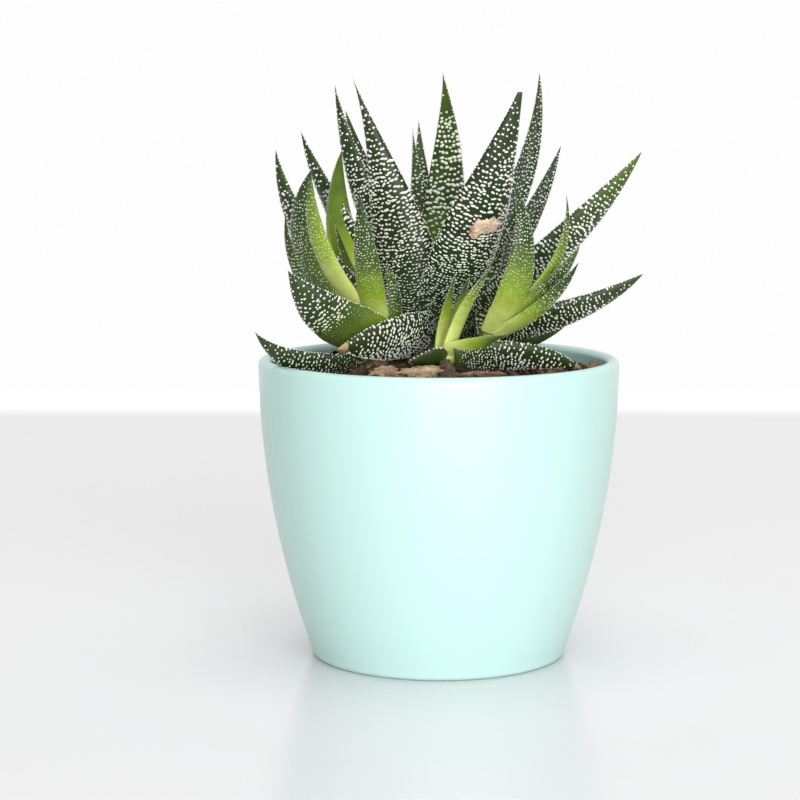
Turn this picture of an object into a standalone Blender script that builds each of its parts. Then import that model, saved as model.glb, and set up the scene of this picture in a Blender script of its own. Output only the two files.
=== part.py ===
"""Potted haworthia cluster: a round glazed pot, its soil, and a main rosette with three pups.

Metres, +Z up. The origin is the centre of the pot's flat underside.
A leaf is a tapering blade carried along a bent midline that leaves a short stem. Its inner face is
nearly flat and its outer face is round. Each leaf is cut back by the leaves, stems, pot and soil
that it meets, each grown by one clearance, so the bases nest without touching.
"""

import math

import bmesh
import bpy
import numpy as np

MM = 0.001

# Pot
RIM_DIAMETER = 90.0 * MM
BASE_DIAMETER = 63.0 * MM
POT_HEIGHT = 75.0 * MM
WALL = 3.2 * MM
FLOOR = 5.0 * MM
FOOT_ROUND = 1.5 * MM
FOOT_CUT = 0.3
FLARE_POWER = 2.0
LIP_ANGLES = (30, 60, 90, 120, 150)
# The inside corner at the floor: three points in from the wall and up from the floor, in walls
FLOOR_CORNER = ((0.0, 1.0), (0.5, 0.2), (1.5, 0.0))
POT_SEGMENTS = 48
WALL_STEPS = 7

# Soil
HEADSPACE = 6.0 * MM
MOUND = 6.0 * MM
SOIL_STEPS = 4

# Fits
CLEARANCE = 0.3 * MM

# Stems
STEM_DEPTH = 6.0 * MM
STEM_SIDES = 12
STEM_TAPER = 0.55
STEM_FOOT = 0.8

# Leaf form
LEAF_STATIONS = 9
BEND_POWER = 1.4
BELLY_FULLNESS = 0.22
BELLY_BY_TAPER = 1.1
THICKNESS_SHARE = 0.28
THICKNESS_POWER = 0.8
TIP_START = 0.96
MIDLINE_STEPS = 240
# Around the blade, as shares of half width and of thickness: the inner face, then the outer face
BLADE_SECTION = ((1.0, 0.05), (0.55, 0.16), (0.0, 0.10), (-0.55, 0.16),
                 (-1.0, 0.05), (-0.68, -0.50), (0.0, -0.84), (0.68, -0.50))
OUTER_SWELL = -min(lift for _, lift in BLADE_SECTION)

# Rosettes: where the stem's head stands and where it leaves the soil (x, y as shares of the soil's
# radius), height of the leaves' seat above the soil there, stem height above the soil, stem radius,
# and how full a leaf is at its base.
# Leaves: name, heading (degrees), height on the stem (mm), rise, curl, sway (degrees), length (mm),
# width (mm), roll (degrees), taper
ROSETTES = {
    "main": {
        "place": (-0.025, 0.07), "foot": (-0.025, 0.07), "seat": 1.0 * MM, "stem_height": 17.5 * MM,
        "stem_radius": 4.5 * MM, "fullness": 0.55,
        "leaves": (
            ("crown", 78, 14.5, 65, 40, -27, 57, 11.5, 0, 1.2),
            ("front_right_tall", 297, 10.0, 53, 15, 17.5, 64, 17.0, -8, 1.3),
            ("front_left_tall", 217, 6.0, 75, -6.5, -14.5, 66, 17.0, 32, 1.8),
            ("back_slim_left", 106, 14.0, 64, 13, 4, 45, 6.5, 0, 1.5),
            ("back_slim_right", 98, 9.5, 58.5, 26.5, 8.5, 52, 7.5, 0, 1.2),
            ("left_tall", 182, 11.0, 60, 21, 5, 60, 13.5, 24, 1.3),
            ("right_tall", 27, 11.5, 47.5, 43, -3.5, 65.5, 12.5, 0, 1.1),
            ("left_inner", 144, 9.0, 59, 13, -3, 57, 12.5, 0, 1.1),
            ("right_mid", 346, 6.0, 35, 18.5, -3, 65.5, 14.0, -28, 1.0),
            ("right_inner", 25, 5.0, 47, 20, 2.5, 56.5, 12.5, 0, 1.1),
            ("left_mid", 168, 6.0, 50, 21, 15, 57.5, 13.5, 28, 1.1),
            ("left_low", 190, 4.0, 31, 52, 3, 61, 13.5, 25, 1.1),
            ("right_low", 4, 4.0, 7, 27, -18, 51, 13.0, -34, 1.0),
            ("front_lying", 238, 5.0, 2, -9, -18, 34, 14.0, 58, 1.0),
            ("right_small", 12, 4.5, -15, 42, 12, 32, 9.0, -38, 1.0),
            ("back_mid", 118, 6.0, 46, 20, 8, 52, 13.0, 0, 1.2),
            ("back_low_left", 140, 2.5, 22, 28, -8, 50, 12.5, 12, 1.1),
            ("back_low", 95, 3.5, 26, 30, 6, 51, 13.0, 0, 1.2),
            ("back_low_right", 56, 2.5, 20, 30, 6, 50, 12.5, -10, 1.1),
        ),
    },
    "left_pup": {
        "place": (-0.36, -0.215), "foot": (-0.24, -0.06), "seat": 2.3 * MM, "stem_height": 13.4 * MM,
        "stem_radius": 2.4 * MM, "fullness": 0.6,
        "leaves": (
            ("front", 259, 7.5, 51, 29, -8, 38, 7.0, -4, 1.0),
            ("inner", 132, 7.5, 52, 54, 4, 46, 10.0, -10, 1.0),
            ("arched", 210, 9.0, 42, 54.5, 11.5, 41.5, 8.0, 6, 1.0),
            ("slim", 150, 9.5, 56, 21, -4, 26, 5.0, 0, 1.2),
            ("small", 343, 4.0, 75, 41, -12, 19, 8.0, -4, 1.0),
            ("outer", 183, 5.5, 37, 83, 12, 47, 11.5, 25, 1.0),
            ("outer_low", 174, 3.0, 33, 59, 9, 40, 8.5, 28, 1.2),
            ("broad_low", 225, 5.0, 19, 33, -3.5, 33, 15.0, 36, 1.2),
            ("lying", 199, -1.5, -6, 54, 28, 34, 10.5, 36, 1.3),
        ),
    },
    "right_pup": {
        "place": (0.30, -0.29), "foot": (0.20, -0.15), "seat": 2.3 * MM, "stem_height": 10.9 * MM,
        "stem_radius": 2.4 * MM, "fullness": 0.6,
        "leaves": (
            ("broad", 301, 7.0, 45.5, 75.5, 19.5, 39.5, 9.5, 0, 1.1),
            ("bright", 351, 7.5, 37, 62, 0, 38.5, 7.0, -20, 1.3),
            ("outer", 342, 6.5, 37, 21, -10, 30, 8.0, -18, 1.0),
            ("outer_low", 331, 6.0, 28, 26.5, -8.5, 29, 7.5, -10, 1.1),
            ("inner", 97, 4.0, 43, 17, -58, 32, 5.5, 8, 1.2),
        ),
    },
    "front_pup": {
        "place": (0.036, -0.48), "foot": (0.036, -0.42), "seat": 1.3 * MM, "stem_height": 7.3 * MM,
        "stem_radius": 1.8 * MM, "fullness": 0.9,
        "leaves": (
            ("left", 140, 3.4, 97, 14, 0, 20, 5.0, 0, 1.3),
            ("middle", 60, 4.5, 64, -9, -8, 20, 4.0, -4, 1.3),
            ("right", 344, 5.5, 70, -22.5, -7, 22, 6.0, -13, 1.2),
            ("lying", 330, 3.8, 19, -3, 14, 15.5, 8.0, -28, 1.4),
            ("right_lying", 6, 1.0, 12, -38, -2, 32, 13.0, -38, 1.0),
            ("low", 215, 2.4, 2, -10, 0, 9.5, 7.5, 40, 1.0),
        ),
    },
}

# The dry flake that rests on a leaf's outer face
FLAKE_LEAF = ("main", "front_right_tall")
FLAKE_ALONG = 0.47
FLAKE_ACROSS = 0.03
FLAKE_SIZE = (6.8 * MM, 5.0 * MM, 0.8 * MM)

# A lump's three levels, as shares of its thickness, with how far each reaches, and its sides
LUMP_LEVELS = ((-0.5, 0.72), (-0.1, 1.0), (0.5, 0.62))
LUMP_SIDES = 8
LUMP_WOBBLE = 0.12

# Bark chips on the soil: place as shares of the soil's radius, length, width, thickness (mm), turn
BARK_CHIPS = (
    (-0.12, -0.66, 11.0, 4.5, 2.6, 18), (0.08, -0.76, 8.0, 4.5, 2.6, -20),
    (0.27, -0.70, 8.0, 4.0, 2.4, 8), (-0.33, -0.62, 7.0, 4.0, 2.6, 40),
    (0.86, -0.38, 5.5, 3.4, 2.4, 60), (-0.20, 0.84, 9.0, 4.2, 2.2, 12),
    (-0.55, 0.66, 7.0, 4.0, 2.2, 35), (0.62, 0.60, 8.0, 3.6, 2.2, -50),
)

COLOURS = {
    "glaze": ((0.52, 0.80, 0.71, 1.0), 0.12), "soil": ((0.045, 0.030, 0.022, 1.0), 0.95),
    "bark": ((0.26, 0.12, 0.06, 1.0), 0.9), "flake": ((0.60, 0.40, 0.22, 1.0), 0.8),
    "stem": ((0.42, 0.50, 0.22, 1.0), 0.6), "dark_leaf": ((0.035, 0.085, 0.03, 1.0), 0.5),
    "bright_leaf": ((0.22, 0.36, 0.06, 1.0), 0.5),
}


def clear_scene():
    for thing in list(bpy.data.objects):
        bpy.data.objects.remove(thing, do_unlink=True)


def material(name):
    """One Principled material per colour name."""
    made = bpy.data.materials.get(name)
    if made is None:
        made = bpy.data.materials.new(name)
        made.use_nodes = True
        shader = made.node_tree.nodes["Principled BSDF"]
        colour, roughness = COLOURS[name]
        shader.inputs["Base Color"].default_value = colour
        shader.inputs["Roughness"].default_value = roughness
        shader.inputs["Metallic"].default_value = 0.0
    return made


def add_mesh(name, points, faces, colour=None):
    """A closed mesh object with its faces turned outwards; with no colour it is a hidden cutter."""
    work = bmesh.new()
    corners = [work.verts.new(tuple(map(float, point))) for point in points]
    for face in faces:
        work.faces.new([corners[i] for i in face])
    bmesh.ops.recalc_face_normals(work, faces=work.faces)
    mesh = bpy.data.meshes.new(name)
    work.to_mesh(mesh)
    work.free()
    thing = bpy.data.objects.new(name, mesh)
    bpy.context.scene.collection.objects.link(thing)
    if colour is None:
        thing.hide_render = True
        thing.display_type = "WIRE"
    else:
        mesh.materials.append(material(colour))
        mesh.shade_smooth()
        mesh.set_sharp_from_angle(angle=math.radians(40))
    return thing


def turned(name, profile, segments, colour=None):
    """A profile of (radius, height) points turned about +Z; a radius of 0 closes it with one point."""
    points, rings, faces = [], [], []
    for radius, height in profile:
        count = segments if radius > 0 else 1
        start = len(points)
        for i in range(count):
            angle = 2 * math.pi * i / segments
            points.append((radius * math.cos(angle), radius * math.sin(angle), height))
        rings.append([start + i % count for i in range(segments)])
    for low, high in zip(rings, rings[1:]):
        for i in range(segments):
            j = (i + 1) % segments
            loop = [low[i], low[j], high[j], high[i]]
            faces.append(list(dict.fromkeys(loop)))
    return add_mesh(name, points, faces, colour)


def outer_radius(height):
    """The pot's outside, nearly upright at the rim and curving in towards the foot."""
    drop = (POT_HEIGHT - height) / POT_HEIGHT
    return RIM_DIAMETER / 2 - (RIM_DIAMETER - BASE_DIAMETER) / 2 * drop ** FLARE_POWER


def inner_radius(height):
    return outer_radius(height) - WALL


def pot_profile(grow=0.0):
    """From the middle of the underside, up the outside, over the round lip and down to the floor."""
    lip = WALL / 2
    top = POT_HEIGHT - lip
    foot = outer_radius(FOOT_ROUND)
    profile = [(0.0, -grow), (foot - FOOT_ROUND, -grow)]
    profile.append((foot - FOOT_CUT * FOOT_ROUND + grow, FOOT_CUT * FOOT_ROUND))
    for height in np.linspace(FOOT_ROUND, top, WALL_STEPS):
        profile.append((outer_radius(height) + grow, height))
    middle = outer_radius(top) - lip
    for angle in np.radians(LIP_ANGLES):
        profile.append((middle + (lip + grow) * math.cos(angle), top + (lip + grow) * math.sin(angle)))
    for height in np.linspace(top, FLOOR + WALL, WALL_STEPS - 1)[:-1]:
        profile.append((inner_radius(height) - grow, height))
    for inset, rise in FLOOR_CORNER:
        radius = inner_radius(FLOOR + rise * WALL) - inset * WALL
        profile.append((radius - grow, FLOOR + rise * WALL + grow))
    profile.append((0.0, FLOOR + grow))
    return profile


def soil_radius(height):
    return inner_radius(height) - CLEARANCE


def soil_top(x, y):
    """The soil's mounded surface: highest in the middle, a headspace below the rim at the wall."""
    edge = POT_HEIGHT - HEADSPACE
    share = math.hypot(x, y) / soil_radius(edge)
    return edge + MOUND * (1 - min(share, 1.0) ** 2)


def soil_profile(grow=0.0):
    edge = POT_HEIGHT - HEADSPACE
    low = FLOOR + WALL
    bottom = FLOOR + 2 * CLEARANCE
    inset = FLOOR_CORNER[-1][0] * WALL + CLEARANCE
    profile = [(0.0, bottom - grow), (inner_radius(FLOOR) - inset, bottom)]
    for height in np.linspace(low, edge, SOIL_STEPS + 1):
        profile.append((soil_radius(height), height + (grow if height == edge else 0.0)))
    for share in np.linspace(1, 0, SOIL_STEPS + 1)[1:]:
        radius = share * soil_radius(edge)
        profile.append((radius, soil_top(radius, 0.0) + grow))
    return profile


def on_soil(share):
    """A place given as shares of the soil's radius, in metres."""
    reach = soil_radius(POT_HEIGHT - HEADSPACE)
    return share[0] * reach, share[1] * reach


def stem_shoulder(rosette):
    """How high above the soil the stem's long taper ends and its tip begins."""
    return rosette["stem_height"] - STEM_TAPER * rosette["stem_radius"]


def stem_profile(rosette, grow=0.0):
    """A tapering stub from below the soil's surface to the heart of its rosette."""
    ground = soil_top(*on_soil(rosette["place"]))
    radius = rosette["stem_radius"]
    bottom = ground - STEM_DEPTH - grow
    return [(0.0, bottom), (STEM_FOOT * radius + grow, bottom),
            (radius + grow, ground), (radius + grow, ground + rosette["seat"]),
            (STEM_TAPER * radius + grow, ground + stem_shoulder(rosette)),
            (0.0, ground + rosette["stem_height"] + grow)]


def stem_face(rosette, height):
    """The stem's radius at a height above the soil, from its seat to its tip."""
    radius = rosette["stem_radius"]
    return np.interp(height, (rosette["seat"], stem_shoulder(rosette), rosette["stem_height"]),
                     (radius, STEM_TAPER * radius, 0.0))


def add_stem(name, rosette, grow=0.0, colour=None):
    """A stem, leaning from where it leaves the soil to where its head stands."""
    stem = turned(name, stem_profile(rosette, grow), STEM_SIDES, colour)
    head = np.array(on_soil(rosette["place"]))
    foot = np.array(on_soil(rosette["foot"]))
    bottom = soil_top(*head) - STEM_DEPTH
    for vertex in stem.data.vertices:
        share = min(max((vertex.co.z - bottom) / (STEM_DEPTH + rosette["seat"]), 0.0), 1.0)
        vertex.co.xy = np.array(vertex.co.xy) + foot + (head - foot) * share
    return stem


def leaf_base(rosette, heading, height):
    """Where a leaf's midline starts: just off the stem's face, which narrows upwards."""
    x, y = on_soil(rosette["place"])
    radius = stem_face(rosette, rosette["seat"] + height) + CLEARANCE
    ground = soil_top(x, y)
    return np.array((x + radius * math.cos(heading), y + radius * math.sin(heading),
                     ground + rosette["seat"] + height))


def leaf_midline(rosette, leaf):
    """Along the leaf: point, across and up, as the rise and the heading change along its length."""
    _, heading, height, rise, curl, sway, length, _, roll, _ = leaf
    along = np.linspace(0.0, 1.0, MIDLINE_STEPS + 1)
    bend = along ** BEND_POWER
    climb = np.radians(rise + curl * bend)
    turn = np.radians(heading + sway * bend)
    forward = np.stack((np.cos(climb) * np.cos(turn), np.cos(climb) * np.sin(turn), np.sin(climb)), 1)
    inward = np.stack((-np.sin(climb) * np.cos(turn), -np.sin(climb) * np.sin(turn), np.cos(climb)), 1)
    across = np.cross(inward, forward)
    tilt = math.radians(roll)
    across, inward = (across * math.cos(tilt) + inward * math.sin(tilt),
                      inward * math.cos(tilt) - across * math.sin(tilt))
    step = length * MM / MIDLINE_STEPS
    walked = np.cumsum((forward[1:] + forward[:-1]) / 2, 0) * step
    start = leaf_base(rosette, math.radians(heading), height * MM)
    return start + np.vstack((np.zeros(3), walked)), across, inward


def half_width(along, rosette, leaf):
    """Widest about a quarter of the way up, then tapering to the tip."""
    width, taper = leaf[7] * MM, leaf[9]
    belly = BELLY_FULLNESS + BELLY_BY_TAPER * taper

    def outline(s):
        return (1 - s) ** taper * (rosette["fullness"] + belly * s)
    return width / 2 * outline(along) / outline(np.linspace(0, 1, 101)).max()


def half_depth(along, rosette, leaf):
    """The blade's thickness, which thins towards the tip more slowly than its width."""
    width = leaf[7] * MM
    share = 2 * half_width(along, rosette, leaf) / width
    return THICKNESS_SHARE * width * share ** THICKNESS_POWER


def leaf_points(rosette, leaf, grow=0.0):
    """Rings of the blade's section carried along the midline, and a point at each end."""
    centre, across, inward = leaf_midline(rosette, leaf)
    along = np.linspace(0.0, TIP_START, LEAF_STATIONS)
    row = np.round(along * MIDLINE_STEPS).astype(int)
    half = half_width(along, rosette, leaf)
    depth = half_depth(along, rosette, leaf)
    section = np.array(BLADE_SECTION)
    side = half[:, None] * section[:, 0] + np.sign(section[:, 0]) * grow
    lift = depth[:, None] * section[:, 1] + np.sign(section[:, 1]) * grow
    rings = (centre[row][:, None] + across[row][:, None] * side[..., None]
             + inward[row][:, None] * lift[..., None])
    first, last = centre[1] - centre[0], centre[-1] - centre[-2]
    ends = np.stack((centre[0] - first / np.linalg.norm(first) * grow,
                     centre[-1] + last / np.linalg.norm(last) * grow))
    return np.vstack((rings.reshape(-1, 3), ends))


def leaf_faces():
    """Quads between the rings, and a fan at each end."""
    ring = len(BLADE_SECTION)
    last = (LEAF_STATIONS - 1) * ring
    base, tip = LEAF_STATIONS * ring, LEAF_STATIONS * ring + 1
    faces = []
    for i in range(ring):
        j = (i + 1) % ring
        for row in range(0, last, ring):
            faces.append((row + i, row + j, row + ring + j, row + ring + i))
        faces.append((base, j, i))
        faces.append((tip, last + i, last + j))
    return faces


def boxes_meet(first, second):
    """Whether the bounds of two objects meet."""
    bounds = []
    for thing in (first, second):
        points = np.array([vertex.co[:] for vertex in thing.data.vertices])
        bounds.append((points.min(0), points.max(0)))
    return bool((bounds[0][0] < bounds[1][1]).all() and (bounds[1][0] < bounds[0][1]).all())


def largest_body(mesh):
    """Leaves only the largest connected body of a mesh: a cut can leave crumbs behind a neighbour."""
    work = bmesh.new()
    work.from_mesh(mesh)
    bmesh.ops.triangulate(work, faces=work.faces)
    waiting, bodies = set(work.verts), []
    while waiting:
        body, edge = set(), [waiting.pop()]
        while edge:
            vertex = edge.pop()
            body.add(vertex)
            for link in vertex.link_edges:
                other = link.other_vert(vertex)
                if other in waiting:
                    waiting.remove(other)
                    edge.append(other)
        bodies.append(body)
    if len(bodies) > 1:
        def size(body):
            return sum(face.calc_area() for face in {f for v in body for f in v.link_faces})
        bodies.sort(key=size, reverse=True)
        bmesh.ops.delete(work, geom=[v for body in bodies[1:] for v in body], context="VERTS")
    work.to_mesh(mesh)
    work.free()


def cut_back(thing, cutters):
    """Cuts an object by each grown neighbour whose bounds it meets, and keeps its main body."""
    for cutter in cutters:
        if not boxes_meet(thing, cutter):
            continue
        cut = thing.modifiers.new("clear of " + cutter.name, "BOOLEAN")
        cut.operation = "DIFFERENCE"
        cut.solver = "EXACT"
        cut.object = cutter
        shaped = thing.evaluated_get(bpy.context.evaluated_depsgraph_get())
        mesh = bpy.data.meshes.new_from_object(shaped)
        thing.modifiers.clear()
        old, thing.data = thing.data, mesh
        bpy.data.meshes.remove(old)
        mesh.name = thing.name
        largest_body(mesh)


def add_leaves(cutters):
    """Every leaf of every rosette, each cut back by the stems, pot, soil and leaves before it."""
    faces = leaf_faces()
    for group, rosette in ROSETTES.items():
        colour = "dark_leaf" if group == "main" else "bright_leaf"
        for leaf in rosette["leaves"]:
            name = group + "_leaf_" + leaf[0]
            thing = add_mesh(name, leaf_points(rosette, leaf), faces, colour)
            cut_back(thing, cutters)
            cutters.append(add_mesh(name + "_room", leaf_points(rosette, leaf, CLEARANCE), faces))


def lump(name, centre, axes, size, colour):
    """A low eight-sided lump: a flat underside, a wider waist and a smaller top, a little skewed."""
    points, sides = [], LUMP_SIDES
    for level, reach in LUMP_LEVELS:
        for i in range(sides):
            angle = 2 * math.pi * i / sides
            wobble = reach * (1 + LUMP_WOBBLE * math.cos(3 * angle + 5 * level))
            flat = (wobble * math.cos(angle) / 2, wobble * math.sin(angle) / 2, level)
            points.append(centre + sum(axes[k] * size[k] * flat[k] for k in range(3)))
    faces = [tuple(range(sides)), tuple(range(2 * sides, 3 * sides))]
    for row in (0, sides):
        for i in range(sides):
            j = (i + 1) % sides
            faces.append((row + i, row + j, row + sides + j, row + sides + i))
    return add_mesh(name, points, faces, colour)


def add_bark(cutters):
    """Chips lying on the soil, each clear of the leaves above it."""
    reach = soil_radius(POT_HEIGHT - HEADSPACE)
    for number, (x, y, length, width, depth, turn) in enumerate(BARK_CHIPS, 1):
        size = np.array((length, width, depth)) * MM
        fall = 2 * MOUND * math.hypot(x, y) / reach
        out = np.array((x, y, 0.0)) / math.hypot(x, y)
        up = np.array((0.0, 0.0, 1.0)) + out * fall
        up /= np.linalg.norm(up)
        angle = math.radians(turn)
        first = np.array((math.cos(angle), math.sin(angle), 0.0))
        first -= up * first.dot(up)
        first /= np.linalg.norm(first)
        place = np.array((x * reach, y * reach, soil_top(x * reach, y * reach)))
        centre = place + up * (size[2] / 2 + 2 * CLEARANCE)
        chip = lump(f"bark_chip_{number:02d}", centre, (first, np.cross(up, first), up), size, "bark")
        cut_back(chip, cutters)


def add_flake():
    """The dry flake against the outer face of a tall leaf."""
    rosette = ROSETTES[FLAKE_LEAF[0]]
    leaf = next(row for row in rosette["leaves"] if row[0] == FLAKE_LEAF[1])
    centre, across, inward = leaf_midline(rosette, leaf)
    row = round(FLAKE_ALONG * MIDLINE_STEPS)
    half = float(half_width(FLAKE_ALONG, rosette, leaf))
    forward = np.cross(across[row], inward[row])
    away = half_depth(FLAKE_ALONG, rosette, leaf) * OUTER_SWELL + CLEARANCE + FLAKE_SIZE[2] / 2
    middle = centre[row] + across[row] * half * FLAKE_ACROSS - inward[row] * away
    lump("dry_flake", middle, (across[row], -forward, -inward[row]), FLAKE_SIZE, "flake")


def main():
    clear_scene()
    turned("pot", pot_profile(), POT_SEGMENTS, "glaze")
    soil = turned("soil", soil_profile(), POT_SEGMENTS, "soil")
    cutters = [turned("pot_room", pot_profile(CLEARANCE), POT_SEGMENTS),
               turned("soil_room", soil_profile(CLEARANCE), POT_SEGMENTS)]
    for group, rosette in ROSETTES.items():
        add_stem(group + "_stem", rosette, 0.0, "stem")
        room = add_stem(group + "_stem_room", rosette, CLEARANCE)
        cut_back(soil, [room])
        cutters.append(room)
    add_leaves(cutters)
    add_flake()
    add_bark(cutters[2:])


main()
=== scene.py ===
import math
import bpy
import numpy as np
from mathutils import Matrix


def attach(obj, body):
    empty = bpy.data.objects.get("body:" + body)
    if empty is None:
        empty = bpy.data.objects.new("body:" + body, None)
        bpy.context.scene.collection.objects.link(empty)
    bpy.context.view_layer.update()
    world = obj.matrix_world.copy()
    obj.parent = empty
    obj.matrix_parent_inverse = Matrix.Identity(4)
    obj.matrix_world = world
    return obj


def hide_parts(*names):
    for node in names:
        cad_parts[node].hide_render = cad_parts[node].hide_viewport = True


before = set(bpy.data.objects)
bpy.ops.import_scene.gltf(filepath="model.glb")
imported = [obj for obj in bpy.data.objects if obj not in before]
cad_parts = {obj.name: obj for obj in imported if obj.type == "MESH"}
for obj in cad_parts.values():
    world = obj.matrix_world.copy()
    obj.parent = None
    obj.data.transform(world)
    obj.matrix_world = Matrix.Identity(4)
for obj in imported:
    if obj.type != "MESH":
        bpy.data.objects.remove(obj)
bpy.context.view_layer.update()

mm = 0.001
print("frame loaded:", len(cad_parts), "nodes")


# one value on each point of a mesh, for its material to read
def paintPoints(mesh, pointData):
    for key, values in pointData.items():
        layer = mesh.attributes.new(key, "FLOAT", "POINT")
        layer.data.foreach_set("value", np.asarray(values, np.float32))


# puts points, quads and triangles into one mesh; face and corner data follow the same order
def makePiece(name, points, quads, tris, materials, faceSlots=None, pointData=None, uv=None, smooth=True):
    quads = np.asarray(quads, np.int32).reshape(-1, 4)
    tris = np.asarray(tris, np.int32).reshape(-1, 3)
    corners = np.concatenate([quads.ravel(), tris.ravel()])
    sizes = np.concatenate([np.full(len(quads), 4), np.full(len(tris), 3)])
    starts = np.concatenate([[0], np.cumsum(sizes)[:-1]])
    mesh = bpy.data.meshes.new(name)
    mesh.vertices.add(len(points))
    mesh.vertices.foreach_set("co", np.ascontiguousarray(points, np.float32).ravel())
    mesh.loops.add(len(corners))
    mesh.loops.foreach_set("vertex_index", corners)
    mesh.polygons.add(len(sizes))
    mesh.polygons.foreach_set("loop_start", starts.astype(np.int32))
    mesh.polygons.foreach_set("loop_total", sizes.astype(np.int32))
    mesh.polygons.foreach_set("use_smooth", np.broadcast_to(smooth, len(sizes)).astype(bool))
    for material in materials:
        mesh.materials.append(material)
    if faceSlots is not None:
        mesh.polygons.foreach_set("material_index", np.asarray(faceSlots, np.int32))
    paintPoints(mesh, pointData or {})
    if uv is not None:
        mesh.uv_layers.new(name="OFBake").data.foreach_set("uv", np.asarray(uv, np.float32).ravel())
    mesh.update()
    mesh.validate()
    piece = bpy.data.objects.new(name, mesh)
    bpy.context.scene.collection.objects.link(piece)
    return piece


# quads of a grid of rows by columns whose columns close on themselves
def tubeQuads(rows, columns):
    r, c = np.meshgrid(np.arange(rows - 1), np.arange(columns), indexing="ij")
    n = (c + 1) % columns
    low, high = r * columns, (r + 1) * columns
    return np.stack([low + c, low + n, high + n, high + c], -1).reshape(-1, 4)


# corner uv of those quads, so that the seam column ends at u1 and not at u0
def tubeUv(rows, columns, u0, u1, v):
    r, c = np.meshgrid(np.arange(rows - 1), np.arange(columns), indexing="ij")
    left, right = u0 + (u1 - u0) * c / columns, u0 + (u1 - u0) * (c + 1) / columns
    low, high = v[r], v[r + 1]
    return np.stack([left, low, right, low, right, high, left, high], -1).reshape(-1, 4, 2)


# two fans that close the grid's first and last row on two end points, which come right after its own points
def endFans(rows, columns):
    ring = np.arange(columns)
    after = (ring + 1) % columns
    last = (rows - 1) * columns
    first, final = np.full(columns, rows * columns), np.full(columns, rows * columns + 1)
    return np.concatenate([np.stack([first, after, ring], -1),
                           np.stack([final, ring + last, after + last], -1)])


# the middles of a grid's first and last row
def rowMiddles(points, columns):
    return np.array([points[:columns].mean(0), points[-columns:].mean(0)])


# the faces of many copies of one shape, whose points follow one another from the given start
def repeatFaces(faces, copies, pointsEach, start=0):
    return (faces[None] + start + np.arange(copies)[:, None, None] * pointsEach).reshape(-1, faces.shape[1])


def place(piece, node):
    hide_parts(node)
    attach(piece, "root")


# a new material whose shader has the given roughness and other fixed values
def newMaterial(name, roughness, finish=None):
    material = bpy.data.materials.new(name)
    material.use_nodes = True
    tree = material.node_tree
    shader = tree.nodes["Principled BSDF"]
    shader.inputs["Roughness"].default_value = roughness
    for socket, value in (finish or {}).items():
        shader.inputs[socket].default_value = value
    return material, tree, shader


def addNode(tree, kind, **values):
    node = tree.nodes.new(kind)
    for key, value in values.items():
        if key in node.inputs:
            node.inputs[key].default_value = value
        else:
            setattr(node, key, value)
    return node


def noise(tree, scale, detail=3.0, stretch=(1, 1, 1), shift=0.0):
    coordinates = addNode(tree, "ShaderNodeTexCoord")
    mapping = addNode(tree, "ShaderNodeMapping")
    mapping.inputs["Location"].default_value = (shift, shift * 0.7, shift * 1.3)
    mapping.inputs["Scale"].default_value = stretch
    texture = addNode(tree, "ShaderNodeTexNoise", Scale=scale, Detail=detail)
    tree.links.new(coordinates.outputs["Object"], mapping.inputs["Vector"])
    tree.links.new(mapping.outputs["Vector"], texture.inputs["Vector"])
    return texture.outputs["Fac"]


# stops are (position, colour) or (position, grey)
def ramp(tree, factor, stops):
    node = addNode(tree, "ShaderNodeValToRGB")
    elements = node.color_ramp.elements
    while len(elements) < len(stops):
        elements.new(0.5)
    for element, (position, colour) in zip(elements, stops):
        element.position = position
        element.color = (*colour, 1.0) if isinstance(colour, tuple) else (colour, colour, colour, 1.0)
    tree.links.new(factor, node.inputs["Fac"])
    return node.outputs["Color"]


def mixColour(tree, factor, first, second):
    node = addNode(tree, "ShaderNodeMix", data_type="RGBA")
    for socket, value in ((node.inputs[0], factor), (node.inputs[6], first), (node.inputs[7], second)):
        if isinstance(value, bpy.types.NodeSocket):
            tree.links.new(value, socket)
        else:
            socket.default_value = (*value, 1.0)
    return node.outputs[2]


def maths(tree, operation, first, second, clamp=False):
    node = addNode(tree, "ShaderNodeMath", operation=operation, use_clamp=clamp)
    tree.links.new(first, node.inputs[0])
    tree.links.new(second, node.inputs[1])
    return node.outputs[0]


def attribute(tree, name):
    return addNode(tree, "ShaderNodeAttribute", attribute_name=name).outputs["Fac"]


# a value that runs from 0 to 1, stretched evenly to run from low to high
def stretchTo(tree, value, low, high):
    node = addNode(tree, "ShaderNodeMapRange")
    node.inputs["To Min"].default_value, node.inputs["To Max"].default_value = low, high
    tree.links.new(value, node.inputs["Value"])
    return node.outputs["Result"]


# links a material's colour, its roughness from a range, and its bump
def finishSkin(tree, shader, colour, roughBy, roughness, height, strength, distance):
    tree.links.new(colour, shader.inputs["Base Color"])
    tree.links.new(stretchTo(tree, roughBy, *roughness), shader.inputs["Roughness"])
    bump(tree, shader, height, strength, distance)


def bump(tree, shader, height, strength, distance):
    node = addNode(tree, "ShaderNodeBump", Strength=strength, Distance=distance)
    tree.links.new(height, node.inputs["Height"])
    tree.links.new(node.outputs["Normal"], shader.inputs["Normal"])


# the shade factor darkens the dark colour into a painted shade for the low places of the fine grain, where the
# bump sinks
roughLook = {"specular": 0.25, "roughness": (0.75, 0.98), "detail": 6.0, "hollowShade": 0.45, "bump": 0.6}
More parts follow.
